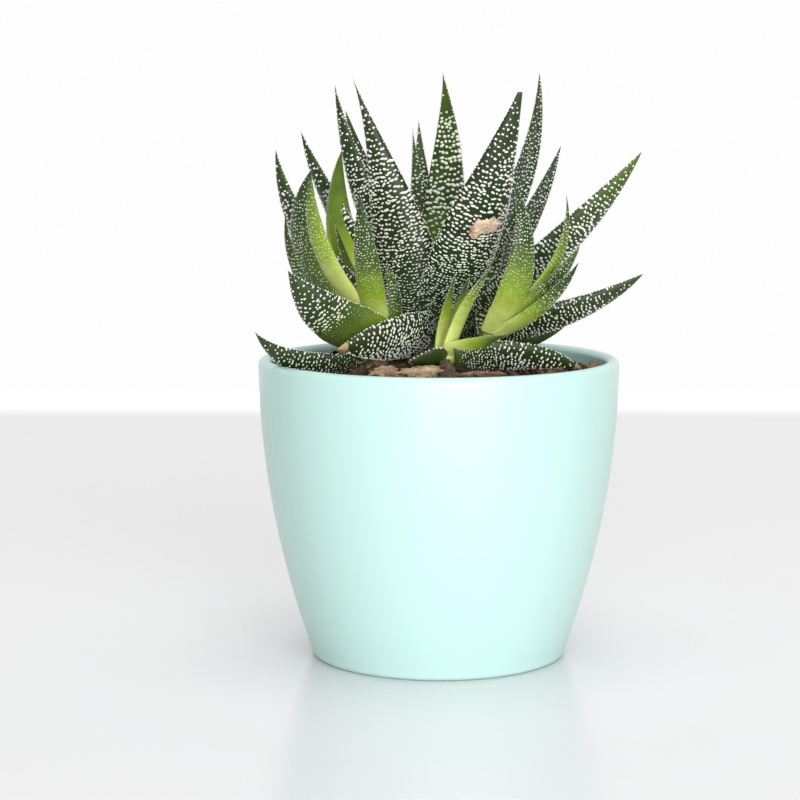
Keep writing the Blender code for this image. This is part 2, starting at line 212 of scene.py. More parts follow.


# earth-coloured skin for stem, bark and husk: coarse grain between two colours, and a painted shade where the
# fine grain, part of the bump, is low
def roughSkin(name, dark, light, scale, stretch, depth):
    roughness = roughLook["roughness"]
    material, tree, shader = newMaterial(name, roughness[0], {"Specular IOR Level": roughLook["specular"]})
    grain = noise(tree, scale, roughLook["detail"], stretch)
    fine = noise(tree, scale * 4, 3.0, stretch, 4.0)
    base = ramp(tree, grain, [(0.32, dark), (0.66, light)])
    # painted shade: the colour turns darker where the fine grain is low, as the bump sinks there
    hollowShadeMask = ramp(tree, fine, [(0.35, 0.55), (0.6, 0.0)])
    shade = mixColour(tree, hollowShadeMask, base, tuple(roughLook["hollowShade"] * c for c in dark))
    finishSkin(tree, shader, shade, fine, roughness, maths(tree, "ADD", grain, fine),
               roughLook["bump"], depth)
    return material


potForm = {"rimDiameter": 90 * mm, "baseDiameter": 63 * mm, "height": 75 * mm, "wall": 3.2 * mm,
           "floor": 5 * mm, "footRound": 1.5 * mm, "flare": 2.0, "eye": 0.5 * mm, "around": 224,
           "wallRows": 60, "underRows": 12, "roundRows": 9, "lipRows": 21, "floorRows": 10}
potLook = {"low": (0.492, 0.72, 0.668), "high": (0.512, 0.74, 0.692), "speck": (0.10, 0.16, 0.13),
           "roughness": (0.29, 0.40), "coat": {"Coat Weight": 0.25, "Coat Roughness": 0.12}}
bakeForm = {"wallFrom": 0.01, "wallHigh": 0.9, "discSize": 0.03, "discs": ((0.05, 0.955), (0.15, 0.955))}


# the outer radius falls from the rim by the drop's share of the height to the power of the flare
def outerRadius(height):
    drop = (potForm["height"] - height) / potForm["height"]
    narrowing = (potForm["rimDiameter"] - potForm["baseDiameter"]) / 2
    return potForm["rimDiameter"] / 2 - narrowing * drop ** potForm["flare"]


# radius and height of the pot's section: flat underside, quarter circle at the foot, curved wall,
# half circle over the lip, inner wall one wall thickness in, quarter circle down to the flat floor
def potProfile():
    lip, foot, wall, floor = potForm["wall"] / 2, potForm["footRound"], potForm["wall"], potForm["floor"]
    top = potForm["height"] - lip
    under = np.linspace(potForm["eye"], outerRadius(foot) - foot, potForm["underRows"])
    turn = np.radians(np.linspace(-90, 0, potForm["roundRows"]))
    rise = np.linspace(foot, top, potForm["wallRows"])[1:]
    over = np.radians(np.linspace(0, 180, potForm["lipRows"]))[1:]
    sink = np.linspace(top, floor + wall, potForm["wallRows"])[1:]
    corner = np.radians(np.linspace(0, -90, potForm["roundRows"]))[1:]
    low = outerRadius(floor + wall) - wall
    inside = np.linspace(low - wall, potForm["eye"], potForm["floorRows"])[1:]
    radius = np.concatenate([under, outerRadius(foot) - foot + foot * np.cos(turn)[1:], outerRadius(rise),
                             outerRadius(top) - lip + lip * np.cos(over), outerRadius(sink) - wall,
                             low - wall + wall * np.cos(corner), inside])
    height = np.concatenate([0 * under, foot + foot * np.sin(turn)[1:], rise, top + lip * np.sin(over), sink,
                             floor + wall + wall * np.sin(corner), np.full(len(inside), floor)])
    return radius, height


# each point of a profile goes round the upright axis: x = radius cos(angle), y = radius sin(angle)
def turnedPoints(radius, height, around):
    angle = np.linspace(0, 2 * math.pi, around, endpoint=False)
    return np.stack([radius[:, None] * np.cos(angle), radius[:, None] * np.sin(angle),
                     height[:, None] + 0 * angle], -1).reshape(-1, 3)


# uv of a turned piece: v follows the length of the profile, and each end is a small disc above the wall
def turnedUv(radius, height, around):
    run = np.concatenate([[0], np.cumsum(np.hypot(np.diff(radius), np.diff(height)))])
    wall = tubeUv(len(radius), around, 0.0, 1.0, bakeForm["wallFrom"] + bakeForm["wallHigh"] * run / run[-1])
    fan = 2 * math.pi * np.arange(around) / around
    after = fan + 2 * math.pi / around
    disc = np.stack([np.full((around, 2), 0.0), np.stack([np.cos(after), np.sin(after)], -1),
                     np.stack([np.cos(fan), np.sin(fan)], -1)], 1)
    discs = [disc * bakeForm["discSize"] + spot for spot in bakeForm["discs"]]
    return np.concatenate([wall.reshape(-1, 2), np.concatenate(discs).reshape(-1, 2)])


# a turned surface whose two ends close on a middle point; shape may bend its points first
def turnedPiece(name, radius, height, around, material, shape=None):
    points = turnedPoints(radius, height, around)
    if shape is not None:
        points = shape(points)
    points = np.vstack([points, rowMiddles(points, around)])
    rows = len(radius)
    return makePiece(name, points, tubeQuads(rows, around), endFans(rows, around), [material],
                     uv=turnedUv(radius, height, around))


# mint glaze: a faint cloud between two mints, with a few dark specks where a second noise is high
def glazeSkin():
    material, tree, shader = newMaterial("mintGlaze", 0.2, potLook["coat"])
    mint = mixColour(tree, noise(tree, 26.0, 2.0), potLook["low"], potLook["high"])
    coordinates = addNode(tree, "ShaderNodeTexCoord")
    spots = addNode(tree, "ShaderNodeTexVoronoi", Scale=150.0, Randomness=1.0)
    tree.links.new(coordinates.outputs["Object"], spots.inputs["Vector"])
    few = ramp(tree, noise(tree, 90.0, 1.0, shift=5.0), [(0.66, 0.0), (0.68, 1.0)])
    speck = maths(tree, "MULTIPLY", ramp(tree, spots.outputs["Distance"], [(0.035, 1.0), (0.06, 0.0)]), few)
    finishSkin(tree, shader, mixColour(tree, speck, mint, potLook["speck"]), noise(tree, 60.0),
               potLook["roughness"], noise(tree, 45.0, 2.0, shift=2.0), 0.06, 0.001)
    return material


def makePot():
    radius, height = potProfile()
    place(turnedPiece("mint_pot", radius, height, potForm["around"], glazeSkin()), "pot")


makePot()
print("pot made")


soilForm = {"headspace": 6 * mm, "mound": 6 * mm, "gap": 0.3 * mm, "seed": 11,
            "topRings": 80, "wallRings": 16, "floorRings": 8, "around": 200,
            "smoothEdge": 0.03,
            "lumps": {"high": 0.9 * mm, "waves": 26, "longest": 14 * mm, "shortest": 1.6 * mm}}
# what lies on the soil: each bead's ring sizes, their places along it, its sides and squareness; how steeply
# it tilts, how high it sits, how jagged and bent it is, how near the middle it comes, its shade and the
# shade's spread
strewn = {
    "grains": {"count": 2600, "rings": (0.7, 1.0, 0.7), "along": (-0.7, 0, 0.7), "sides": 6, "squared": 3,
               "tilt": 0.9, "rise": 0.3, "jag": 0.16, "bow": 0.0, "innermost": 0.0, "shade": (0.34, 0.22),
               "across": (0.4 * mm, 2.0 * mm)},
    "splinters": {"count": 330, "rings": (0.55, 0.9, 1.0, 0.95, 0.6), "along": (-0.85, -0.5, 0, 0.5, 0.85),
                  "sides": 8, "squared": 5, "tilt": 0.40, "rise": 1.8, "jag": 0.16, "bow": 0.25,
                  "innermost": 0.35, "shade": (0.60, 0.24)},
    "fibres": {"count": 150, "rings": (0.6, 1, 1, 1, 1, 1, 0.6),
               "along": (-0.9, -0.6, -0.3, 0, 0.3, 0.6, 0.9), "sides": 5, "squared": 2,
               "tilt": 0.22, "rise": 4.0, "jag": 0.10, "bow": 3.0, "innermost": 0.3, "shade": (0.80, 0.12)},
}
# besides peat and the strewn shades, one colour is a painted shade for the low places of the soil's grain,
# which is also its bump
soilLook = {"peat": ((0.010, 0.008, 0.006), (0.050, 0.038, 0.027)), "shadedHollows": (0.020, 0.014, 0.010),
            "shades": [(0.0, (0.018, 0.014, 0.010)), (0.40, (0.050, 0.037, 0.026)),
                       (0.62, (0.13, 0.082, 0.052)), (0.80, (0.34, 0.215, 0.130)), (1.0, (0.62, 0.47, 0.32))],
            "roughness": (0.75, 1.0), "specular": 0.2}


def soilReach():
    return outerRadius(potForm["height"] - soilForm["headspace"]) - potForm["wall"] - soilForm["gap"]


# the soil's height: a mound that falls with the square of the distance from the middle
def soilTop(x, y):
    share = np.minimum(np.hypot(x, y) / soilReach(), 1.0)
    return potForm["height"] - soilForm["headspace"] + soilForm["mound"] * (1 - share ** 2)


# smooth lumps: a sum of sine waves that run in many directions, the longer ones higher
def lumps(x, y):
    random = np.random.default_rng(soilForm["seed"])
    waves, longest, shortest = (soilForm["lumps"][key] for key in ("waves", "longest", "shortest"))
    total = np.zeros_like(x)
    for _ in range(waves):
        length = longest * (shortest / longest) ** random.random()
        heading, phase = random.random() * 2 * math.pi, random.random() * 2 * math.pi
        ahead = x * math.cos(heading) + y * math.sin(heading)
        total += (length / longest) ** 0.6 * np.sin(2 * math.pi * ahead / length + phase)
    return total / waves ** 0.5 * soilForm["lumps"]["high"]


# a closed bead along x: rings whose squareness makes them superellipses, and a point at each end
def beadShape(form):
    sides, squared = form["sides"], form["squared"]
    angle = (np.arange(sides) + 0.5) * 2 * math.pi / sides
    bulge = (np.abs(np.cos(angle)) ** squared + np.abs(np.sin(angle)) ** squared) ** (-1 / squared)
    rings = [np.stack([np.full(sides, x), r * bulge * np.cos(angle), r * bulge * np.sin(angle)], -1)
             for r, x in zip(form["rings"], form["along"])]
    rows = len(rings)
    return np.vstack(rings + [[[-1, 0, 0]], [[1, 0, 0]]]), tubeQuads(rows, sides), endFans(rows, sides)


# turns for things that lie about: first axis along the heading and tilted, third axis near upright
def lyingTurns(random, count, tilt):
    heading = random.random(count) * 2 * math.pi
    lift, roll = tilt * random.normal(size=count), 1.4 * tilt * random.normal(size=count)
    first = np.stack([np.cos(heading) * np.cos(lift), np.sin(heading) * np.cos(lift), np.sin(lift)], 1)
    side = np.stack([-np.sin(heading), np.cos(heading), 0 * heading], 1)
    third = np.cross(first, side)
    second = side * np.cos(roll)[:, None] + third * np.sin(roll)[:, None]
    return np.stack([first, second, np.cross(first, second)], 1)


# half length, half width and half height of each grain: many small ones, a little longer than wide
def grainSizes(random, count):
    small, large = strewn["grains"]["across"]
    half = (small + (large - small) * random.random(count) ** 2.6) / 2
    longer, lower = 1 + 0.7 * random.random(count), 0.6 + 0.4 * random.random(count)
    return half[:, None] * np.stack([longer, np.ones(count), lower], 1)


def splinterSizes(random, count):
    half = (1.0 + 2.6 * random.random(count) ** 1.6) * mm
    width = half * (0.30 + 0.30 * random.random(count))
    return np.stack([half, width, half * (0.13 + 0.16 * random.random(count))], 1)


def fibreSizes(random, count):
    half = (1.2 + 3.2 * random.random(count)) * mm
    width = 0.13 * mm + 0.16 * mm * random.random(count)
    return np.stack([half, width, 0.10 * mm + 0.10 * mm * random.random(count)], 1)


# throws copies of a bead over the soil, evenly by area: each is jagged and bent, turned, set on the lumpy
# soil and left out if it would reach into the pot; gives points, quads, triangles and each point's shade
def strew(random, form, size):
    shape, quads, tris = beadShape(form)
    count, near, bow = len(size), form["innermost"], form["bow"]
    spread = np.sqrt(near ** 2 + (1 - near ** 2) * random.random(count)) * 0.955 * soilReach()
    heading = random.random(count) * 2 * math.pi
    x, y = spread * np.cos(heading), spread * np.sin(heading)
    body = shape[None] * (1 + form["jag"] * random.normal(size=(count, len(shape), 3)).clip(-1.6, 1.6))
    body[..., 1] += bow * random.normal(size=(count, 1)) * (body[..., 0] ** 2 - 0.5)
    body[..., 2] += 0.5 * bow * random.random((count, 1)) * (1 - body[..., 0] ** 2)
    body = np.einsum("nvi,nij->nvj", body * size[:, None], lyingTurns(random, count, form["tilt"]))
    body += np.stack([x, y, soilTop(x, y) + lumps(x, y) + form["rise"] * size[:, 2]], 1)[:, None]
    body = body[np.hypot(body[..., 0], body[..., 1]).max(1) < soilReach() + 0.15 * mm]
    left, each = body.shape[:2]
    shade = (form["shade"][0] + form["shade"][1] * random.normal(size=left)).clip(0.05, 1)
    return (body.reshape(-1, 3), repeatFaces(quads, left, each), repeatFaces(tris, left, each),
            np.repeat(shade, each))


# the soil's own body: a lumpy mound that calms down at the wall, the wall's curve less a gap, a flat bottom
def soilBody():
    reach, edge, wall = soilReach(), potForm["height"] - soilForm["headspace"], potForm["wall"]
    shares = np.linspace(0.004, 1.0, soilForm["topRings"])
    wallHeights = np.linspace(edge, potForm["floor"] + wall, soilForm["wallRings"])[1:]
    floorShares = np.linspace(1, 0.01, soilForm["floorRings"])[1:]
    floorReach = outerRadius(potForm["floor"]) - 2.5 * wall
    bottom = np.full(len(floorShares), potForm["floor"] + 2 * soilForm["gap"])
    sides = outerRadius(wallHeights) - wall - soilForm["gap"]
    radius = np.concatenate([shares * reach, sides, floorShares * floorReach])[::-1]
    height = np.concatenate([soilTop(shares * reach, 0.0), wallHeights, bottom])[::-1]
    rows, around = len(radius), soilForm["around"]
    points = turnedPoints(radius, height, around)
    swell = lumps(points[:, 0], points[:, 1])
    calm = np.clip((1.0 - np.hypot(points[:, 0], points[:, 1]) / reach) / soilForm["smoothEdge"], 0, 1)
    points[:, 2] += np.where(points[:, 2] >= edge - 1e-6, swell * calm, 0)
    points = np.vstack([points, rowMiddles(points, around)])
    return points, tubeQuads(rows, around), endFans(rows, around), np.zeros(len(points))


# soil: dark peat, with each strewn thing its own shade between peat, reddish bark and tan, and a painted shade
# where the grain, which also drives the bump, is low
def earthSkin():
    material, tree, shader = newMaterial("pottingSoil", 0.9, {"Specular IOR Level": soilLook["specular"]})
    grain = noise(tree, 700.0, 6.0)
    kind = attribute(tree, "kind")
    peat = ramp(tree, grain, [(0.3, soilLook["peat"][0]), (0.7, soilLook["peat"][1])])
    loose = ramp(tree, kind, [(0.0, 0.0), (0.02, 0.9)])
    mixed = mixColour(tree, loose, peat, ramp(tree, kind, soilLook["shades"]))
    # painted shade: the colour darkens where the grain is low, as the bump sinks there
    shadedHollows = mixColour(tree, ramp(tree, grain, [(0.34, 0.75), (0.56, 0.0)]), mixed, soilLook["shadedHollows"])
    finishSkin(tree, shader, shadedHollows, grain, soilLook["roughness"], grain, 0.7, 0.0008)
    return material


def makeSoil():
    random = np.random.default_rng(soilForm["seed"])
    parts = [soilBody()]
    for kind, sizes in (("grains", grainSizes), ("splinters", splinterSizes), ("fibres", fibreSizes)):
        parts.append(strew(random, strewn[kind], sizes(random, strewn[kind]["count"])))
    starts = np.cumsum([0] + [len(part[0]) for part in parts])
    points = np.concatenate([part[0] for part in parts])
    quads, tris = (np.concatenate([part[k] + start for part, start in zip(parts, starts)]) for k in (1, 2))
    smooth = np.concatenate([np.arange(len(quads)) < len(parts[0][1]),       # only the body itself is smooth
                             np.arange(len(tris)) < len(parts[0][2])])
    corners = np.concatenate([quads.ravel(), tris.ravel()])
    uv = points[corners][:, :2] / (2.04 * soilReach()) + 0.5       # seen from above, with a small margin
    soil = makePiece("potting_soil", points, quads, tris, [earthSkin()], None,
                     {"kind": np.concatenate([part[3] for part in parts])}, uv, smooth)
    place(soil, "soil")


makeSoil()
print("soil made")


# each rosette: where its stem's head and foot stand (shares of the soil's radius), seat, stem height and stem
# radius (mm), and how wide its leaves are at the base.
# each leaf: heading, height on the stem (mm), rise, curl, sway (degrees), length, width (mm), roll (degrees),
# taper, then its looks: brightness, how far up the pale base reaches, how dry the tip and how brown the skin is
rosettes = {
    "main": {
        "head": (-0.025, 0.07), "foot": (-0.025, 0.07), "seat": 1, "stemHeight": 17.5, "stemRadius": 4.5,
        "fullness": 0.55,
        "leaves": {
            "crown": (78, 14.5, 65, 40, -27, 57, 11.5, 0, 1.2, 0.19, 0.4, 0, 0.05),
            "front_right_tall": (297, 10, 53, 15, 17.5, 64, 17, -8, 1.3, 0.06, 0.1, 0.25, 0.15),
            "front_left_tall": (217, 6, 75, -6.5, -14.5, 66, 17, 32, 1.8, 0.06, 0.1, 0.4, 0.36),
            "back_slim_left": (106, 14, 64, 13, 4, 45, 6.5, 0, 1.5, 0.16, 0.2, 0, 0.1),
            "back_slim_right": (98, 9.5, 58.5, 26.5, 8.5, 52, 7.5, 0, 1.2, 0.15, 0.2, 0, 0.1),
            "left_tall": (182, 11, 60, 21, 5, 60, 13.5, 24, 1.3, 0.1, 0.12, 0, 0.1),
            "right_tall": (27, 11.5, 47.5, 43, -3.5, 65.5, 12.5, 0, 1.1, 0.13, 0.12, 0.1, 0.1),
            "left_inner": (144, 9, 59, 13, -3, 57, 12.5, 0, 1.1, 0.1, 0.12, 0, 0.1),
            "right_mid": (346, 6, 35, 18.5, -3, 65.5, 14, -28, 1, 0.12, 0.1, 0.1, 0.1),
            "right_inner": (25, 5, 47, 20, 2.5, 56.5, 12.5, 0, 1.1, 0.14, 0.1, 0, 0.1),
            "left_mid": (168, 6, 50, 21, 15, 57.5, 13.5, 28, 1.1, 0.12, 0.1, 0, 0.1),
            "left_low": (190, 4, 31, 52, 3, 61, 13.5, 25, 1.1, 0.12, 0.1, 0.1, 0.1),
            "right_low": (4, 4, 7, 27, -18, 51, 13, -34, 1, 0.11, 0.1, 0.1, 0.12),
            "front_lying": (238, 5, 2, -9, -18, 34, 14, 58, 1, 0.1, 0.1, 0.8, 0.3),
            "right_small": (12, 4.5, -15, 42, 12, 32, 9, -38, 1, 0.24, 0.5, 0.2, 0.1),
            "back_mid": (118, 6, 46, 20, 8, 52, 13, 0, 1.2, 0.12, 0.1, 0.1, 0.15),
            "back_low_left": (140, 2.5, 22, 28, -8, 50, 12.5, 12, 1.1, 0.1, 0.1, 0.3, 0.3),
            "back_low": (95, 3.5, 26, 30, 6, 51, 13, 0, 1.2, 0.12, 0.1, 0.2, 0.2),
            "back_low_right": (56, 2.5, 20, 30, 6, 50, 12.5, -10, 1.1, 0.1, 0.1, 0.4, 0.3),
        },
    },
    "left_pup": {
        "head": (-0.36, -0.215), "foot": (-0.24, -0.06), "seat": 2.3, "stemHeight": 13.4, "stemRadius": 2.4,
        "fullness": 0.6,
        "leaves": {
            "front": (259, 7.5, 51, 29, -8, 38, 7, -4, 1, 0.36, 0.55, 0, 0),
            "inner": (132, 7.5, 52, 54, 4, 46, 10, -10, 1, 0.56, 0.6, 0, 0),
            "arched": (210, 9, 42, 54.5, 11.5, 41.5, 8, 6, 1, 0.52, 1, 0, 0),
            "slim": (150, 9.5, 56, 21, -4, 26, 5, 0, 1.2, 0.42, 0.4, 0, 0),
            "small": (343, 4, 75, 41, -12, 19, 8, -4, 1, 0.24, 0.5, 0, 0),
            "outer": (183, 5.5, 37, 83, 12, 47, 11.5, 25, 1, 0.34, 0.35, 0, 0),
            "outer_low": (174, 3, 33, 59, 9, 40, 8.5, 28, 1.2, 0.38, 0.35, 0, 0),
            "broad_low": (225, 5, 19, 33, -3.5, 33, 15, 36, 1.2, 0.13, 0.62, 0.1, 0.1),
            "lying": (199, -1.5, -6, 54, 28, 34, 10.5, 36, 1.3, 0.12, 0.1, 0, 0.2),
        },
    },
    "right_pup": {
        "head": (0.3, -0.29), "foot": (0.2, -0.15), "seat": 2.3, "stemHeight": 10.9, "stemRadius": 2.4,
        "fullness": 0.6,
        "leaves": {
            "broad": (301, 7, 45.5, 75.5, 19.5, 39.5, 9.5, 0, 1.1, 0.34, 0.62, 0, 0),
            "bright": (351, 7.5, 37, 62, 0, 38.5, 7, -20, 1.3, 0.42, 0.85, 0, 0),
            "outer": (342, 6.5, 37, 21, -10, 30, 8, -18, 1, 0.27, 0.6, 0, 0),
            "outer_low": (331, 6, 28, 26.5, -8.5, 29, 7.5, -10, 1.1, 0.34, 0.7, 0, 0),
            "inner": (97, 4, 43, 17, -58, 32, 5.5, 8, 1.2, 0.2, 0.3, 0, 0),
        },
    },
    "front_pup": {
        "head": (0.036, -0.48), "foot": (0.036, -0.42), "seat": 1.3, "stemHeight": 7.3, "stemRadius": 1.8,
        "fullness": 0.9,
        "leaves": {
            "left": (140, 3.4, 97, 14, 0, 20, 5, 0, 1.3, 0.4, 0.85, 0, 0),
            "middle": (60, 4.5, 64, -9, -8, 20, 4, -4, 1.3, 0.4, 0.8, 0, 0),
            "right": (344, 5.5, 70, -22.5, -7, 22, 6, -13, 1.2, 0.5, 0.8, 0, 0),
            "lying": (330, 3.8, 19, -3, 14, 15.5, 8, -28, 1.4, 0.44, 0.8, 0, 0),
            "right_lying": (6, 1, 12, -38, -2, 32, 13, -38, 1, 0.12, 0.1, 0.7, 0.25),
            "low": (215, 2.4, 2, -10, 0, 9.5, 7.5, 40, 1, 0.15, 0.2, 0, 0.1),
        },
    },
}
leafFields = ("heading", "height", "rise", "curl", "sway", "length", "width", "roll", "taper",
              "bright", "reach", "dryness", "brown")
leafForm = {"stations": 84, "around": 40, "crowding": 1.25, "lastStation": 0.996, "steps": 400, "bend": 1.4,
            "belly": 0.22, "bellyByTaper": 1.1, "thickness": 0.28, "thinning": 0.8, "stemTaper": 0.55,
            "gap": 0.3}
# leaves whose tip is broken off, with the share of the outline that is left
brokenTips = {("main", "front_right_tall"): 0.945}
# leaves that turn paler again towards the tip
paleTips = {("main", "right_mid"): 0.30, ("main", "right_tall"): 0.12, ("main", "crown"): 0.12}
# leaves whose base has only the faintest dots, with how far up
bareBases = {("left_pup", "broad_low"): 0.40}
# leaves whose dots are larger or smaller than the style says
dotScales = {("main", "crown"): 1.14, ("main", "right_low"): 0.84, ("main", "front_lying"): 0.95,
             ("main", "right_tall"): 0.76, ("main", "left_tall"): 0.88, ("main", "right_inner"): 0.80,
             ("main", "left_inner"): 0.85, ("main", "back_slim_left"): 0.8, ("main", "back_slim_right"): 0.8,
             ("left_pup", "lying"): 0.72, ("left_pup", "broad_low"): 0.84, ("front_pup", "right_lying"): 0.92}
# leaves without dots, and leaves without dots on their inner face
plainLeaves = [("main", "right_small"), ("front_pup", "lying"), ("front_pup", "low")]
plainInside = [("left_pup", "inner")]


# one leaf's values by name, with what the lists above say of it
def leafValues(group, name, number=0):
    leaf = dict(zip(leafFields, rosettes[group]["leaves"][name]))
    leaf.update(key=(group, name), fullness=rosettes[group]["fullness"], seed=1.0 + number * 2.39,
                left=brokenTips.get((group, name), 1.0), young=leaf["bright"] > 0.22 and group != "main")
    return leaf


def onSoil(share):
    return np.array([share[0] * soilReach(), share[1] * soilReach()])


# a stem's radius: even up to its seat, then narrowing evenly to its shoulder and evenly again to its tip (mm)
def stemFace(rosette, height):
    girth, tip = rosette["stemRadius"], rosette["stemHeight"]
    narrow = leafForm["stemTaper"] * girth
    return np.interp(height, (rosette["seat"], tip - narrow, tip), (girth, narrow, 0.0))


# midline: the rise and the heading change with the 1.4th power of the way along, and the leaf's own
# directions turn with them; the points are these headings added up, from the stem's face outwards
def midline(rosette, leaf):
    along = np.linspace(0.0, 1.0, leafForm["steps"] + 1)
    bend = along ** leafForm["bend"]
    climb = np.radians(leaf["rise"] + leaf["curl"] * bend)
    turn = np.radians(leaf["heading"] + leaf["sway"] * bend)
    forward = np.stack([np.cos(climb) * np.cos(turn), np.cos(climb) * np.sin(turn), np.sin(climb)], 1)
    inward = np.stack([-np.sin(climb) * np.cos(turn), -np.sin(climb) * np.sin(turn), np.cos(climb)], 1)
    across = np.cross(inward, forward)
    tilt = math.radians(leaf["roll"])
    across, inward = (across * math.cos(tilt) + inward * math.sin(tilt),
                      inward * math.cos(tilt) - across * math.sin(tilt))
    steps = np.vstack([np.zeros(3), np.cumsum((forward[1:] + forward[:-1]) / 2, 0)])
    x, y = onSoil(rosette["head"])
    height = rosette["seat"] + leaf["height"]
    radius, heading = (stemFace(rosette, height) + leafForm["gap"]) * mm, math.radians(leaf["heading"])
    start = np.array([x + radius * math.cos(heading), y + radius * math.sin(heading),
                      soilTop(x, y) + height * mm])
    return start + steps * leaf["length"] * mm / leafForm["steps"], across, inward, forward


# half width: (1 - s) to the taper, times a line that starts at the base's fullness and climbs
def halfWidth(s, width, leaf):
    climb = leafForm["belly"] + leafForm["bellyByTaper"] * leaf["taper"]

    def outline(t):
        return (1 - t) ** leaf["taper"] * (leaf["fullness"] + climb * t)
    return width / 2 * outline(s) / outline(np.linspace(0, 1, 201)).max()


# the blade: at each share s of its length an oval, flat and a little hollow inside, round outside, its depth
# the 0.8th power of its width's share; small sine waves keep it from being even.
# theta is 0 and pi at the margins, pi/2 on the inner face and -pi/2 on the outer one
def bladePoint(line, leaf, s, theta):
    centre, across, inward, _ = line
    width, seed = leaf["width"] * mm, leaf["seed"]
    steps = np.linspace(0, 1, leafForm["steps"] + 1)
    middle, side, face = (np.stack([np.interp(s, steps, array[:, k]) for k in range(3)], -1)
                          for array in (centre, across, inward))
    uneven = 1 + 0.018 * np.sin(9 * s + seed) + 0.01 * np.sin(23 * s + 2.3 * seed)
    half = halfWidth(s * leaf["left"], width, leaf) * uneven
    depth = leafForm["thickness"] * width * (2 * half / width + 1e-6) ** leafForm["thinning"]
    up = np.sin(theta)
    hollow = 0.05 + 0.20 * np.maximum(up, 0) - 0.15 * np.maximum(up, 0) ** 4
    swell = -0.89 * np.maximum(-up, 0) ** 1.1
    lift = depth * (hollow + swell) + 0.012 * width * np.sin(6 * s + 1.7 * seed)
    return middle + side * (half * np.cos(theta))[..., None] + face * lift[..., None]


# theta of places spaced evenly over the blade's outer or inner face: the section is taken as an ellipse,
# and its length from margin to margin is shared out
def evenTheta(share, outer):
    theta = np.linspace(0, math.pi, 181)
    flat = 0.47 if outer else 0.12
    step = np.hypot(np.diff(np.cos(theta)), np.diff(flat * np.sin(theta)))
    run = np.concatenate([[0], np.cumsum(step)])
    found = np.interp((share + 1) / 2 * run[-1], run, theta)
    return -found if outer else found


pearlForm = {"sides": 7, "ring": (1.0, 0.74), "height": (-0.3, 0.66), "top": 1.0, "uneven": 0.12,
             "skew": 0.30, "outerArc": 1.22, "innerArc": 1.02, "overlong": 1.5}
# dots by their way along the leaf: at each share of its length, the pitch of the rows, the pitch in a row,
# half the dot's length across the leaf, half its length along it (mm), and the part of the dots that is there
dotStyles = {
    "darkOuter": [(0.0, 0.62, 0.80, 0.24, 0.15, 0.3), (0.10, 0.64, 0.84, 0.27, 0.14, 0.80),
                  (0.25, 0.78, 0.92, 0.33, 0.18, 0.88), (0.38, 0.98, 1.04, 0.43, 0.27, 0.92),
                  (0.55, 1.10, 1.12, 0.48, 0.32, 0.94), (0.72, 1.22, 1.14, 0.44, 0.32, 0.90),
                  (0.85, 1.30, 1.14, 0.36, 0.29, 0.80), (0.95, 1.30, 1.12, 0.27, 0.26, 0.5),
                  (1.0, 1.30, 1.12, 0.22, 0.22, 0.0)],
    "darkInner": [(0.0, 1.60, 1.10, 0.40, 0.20, 0.6), (0.20, 1.50, 1.15, 0.47, 0.26, 0.95),
                  (0.5, 1.32, 1.20, 0.47, 0.36, 0.98), (0.75, 1.28, 1.18, 0.42, 0.36, 0.95),
                  (1.0, 1.25, 1.15, 0.26, 0.26, 0.1)],
    "brightOuter": [(0.0, 0.66, 0.62, 0.10, 0.10, 0.0), (0.26, 0.66, 0.62, 0.11, 0.10, 0.1),
                    (0.42, 0.70, 0.64, 0.14, 0.12, 0.65), (0.60, 0.80, 0.72, 0.20, 0.15, 0.85),
                    (0.80, 0.90, 0.80, 0.21, 0.16, 0.85), (1.0, 0.95, 0.85, 0.15, 0.14, 0.2)],
    "brightInner": [(0.0, 0.95, 0.80, 0.10, 0.10, 0.0), (0.35, 0.95, 0.80, 0.11, 0.11, 0.25),
                    (1.0, 0.95, 0.80, 0.12, 0.12, 0.25)],
}
# beads along the margins of dark and of bright leaves: pitch and half size (mm), and where they start
marginBeads = {"dark": {"pitch": 0.85, "size": 0.21, "start": 0.06},
               "bright": {"pitch": 0.62, "size": 0.12, "start": 0.12}}


# one dot: two rings and a top point over a flat hidden base
def pearlShape():
    sides, rows = pearlForm["sides"], len(pearlForm["ring"])
    angle = np.arange(sides) * 2 * math.pi / sides
    rings = [np.stack([r * np.cos(angle), r * np.sin(angle), np.full(sides, h)], -1)
             for r, h in zip(pearlForm["ring"], pearlForm["height"])]
    points = np.vstack(rings + [[[0, 0, pearlForm["height"][0]]], [[0, 0, pearlForm["top"]]]])
    return points, tubeQuads(rows, sides), endFans(rows, sides)


# rows across the leaf in gentle waves, each row shifted at random and each dot nudged; the rows' places come
# from adding up one over their pitch, and dots past the margins or the tip are left out
def dotPlaces(leaf, style, arc, random):
    length, width = leaf["length"], leaf["width"]
    way, rowPitch, pitchAt, wideAt, tallAt, thereAt = np.array(style).T
    fine = np.linspace(0, 1, 400)
    run = np.concatenate([[0], np.cumsum(1 / (np.interp(fine, way, rowPitch)[1:] * 399 / length))])
    rows, columns = int(run[-1]) + 1, int(arc * width / pitchAt.min()) + 6
    r, c = np.meshgrid(np.arange(rows), np.arange(columns) - columns // 2, indexing="ij")
    r, c = r.ravel(), c.ravel()
    rough = np.interp(r + 0.5, run, fine)
    x = (c + random.random(rows)[r] + 0.16 * random.normal(size=r.shape)) * np.interp(rough, way, pitchAt)
    wave = (0.55 * np.sin(0.42 * x + 0.31 * rough * length + leaf["heading"])
            + 0.26 * np.sin(1.15 * x + 0.47 * rough * length))
    s = np.interp(r + 0.5 + wave + 0.13 * random.normal(size=r.shape), run, fine)
    share = x / np.maximum(halfWidth(s * leaf["left"], width, leaf) * arc, 1e-6)
    there = random.random(r.shape) < np.interp(s, way, thereAt)
    keep = (np.abs(share) < 0.94) & (s > 0.02) & (s < 0.968) & there
    s, share = s[keep], share[keep]
    return s, share, np.interp(s, way, wideAt), np.interp(s, way, tallAt)


